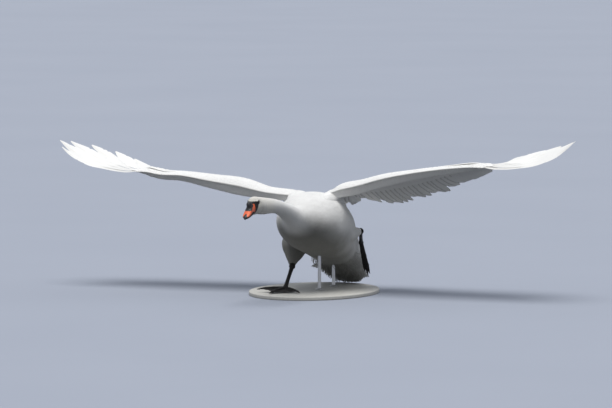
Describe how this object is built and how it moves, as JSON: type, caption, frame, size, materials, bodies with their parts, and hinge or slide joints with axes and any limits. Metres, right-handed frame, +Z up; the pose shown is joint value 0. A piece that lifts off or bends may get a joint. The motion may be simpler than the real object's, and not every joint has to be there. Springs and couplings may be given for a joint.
{
  "type": "mute swan",
  "caption": "Life-size still model of an adult mute swan touching down with wings spread and neck stretched forward, held on a flat oval base by short rods.",
  "frame": {"origin": "underside of the display base, below the bird's shoulders", "axes": "+Z up, the bird heads towards -Y, its left wing points to +X"},
  "size_m": [2.304, 1.2023, 0.6698],
  "materials": {
    "plumage": "soft matte white body feathers",
    "flight_feathers": "satin white vanes with pale shafts",
    "eye": "wet gloss dark brown",
    "bill_skin": "satin orange horn with black edges",
    "bill_horn": "satin black horn and skin",
    "leg_skin": "scaly blackish skin, slight sheen",
    "stand_board": "satin pale grey paint",
    "stand_steel": "brushed"
  },
  "bodies": {
    "root": {"trunk": "plumage", "neck_lower": "plumage", "neck_upper": "plumage", "head": "plumage", "wing_left_arm": "plumage", "wing_left_hand": "plumage", "wing_right_arm": "plumage", "wing_right_hand": "plumage", "thigh_right": "plumage", "thigh_left": "plumage", "wing_left_secondaries": "flight_feathers", "wing_left_primaries": "flight_feathers", "wing_left_alula": "flight_feathers", "wing_right_secondaries": "flight_feathers", "wing_right_primaries": "flight_feathers", "wing_right_alula": "flight_feathers", "tail": "flight_feathers", "eye_left": "eye", "eye_right": "eye", "bill_upper": "bill_skin", "bill_nail": "bill_horn", "bill_lower": "bill_horn", "bill_knob": "bill_horn", "shank_right": "leg_skin", "foot_right": "leg_skin", "shank_left": "leg_skin", "foot_left": "leg_skin", "stand_base": "stand_board", "stand_rod_front": "stand_steel", "stand_rod_rear": "stand_steel"}
  },
  "joints": []
}
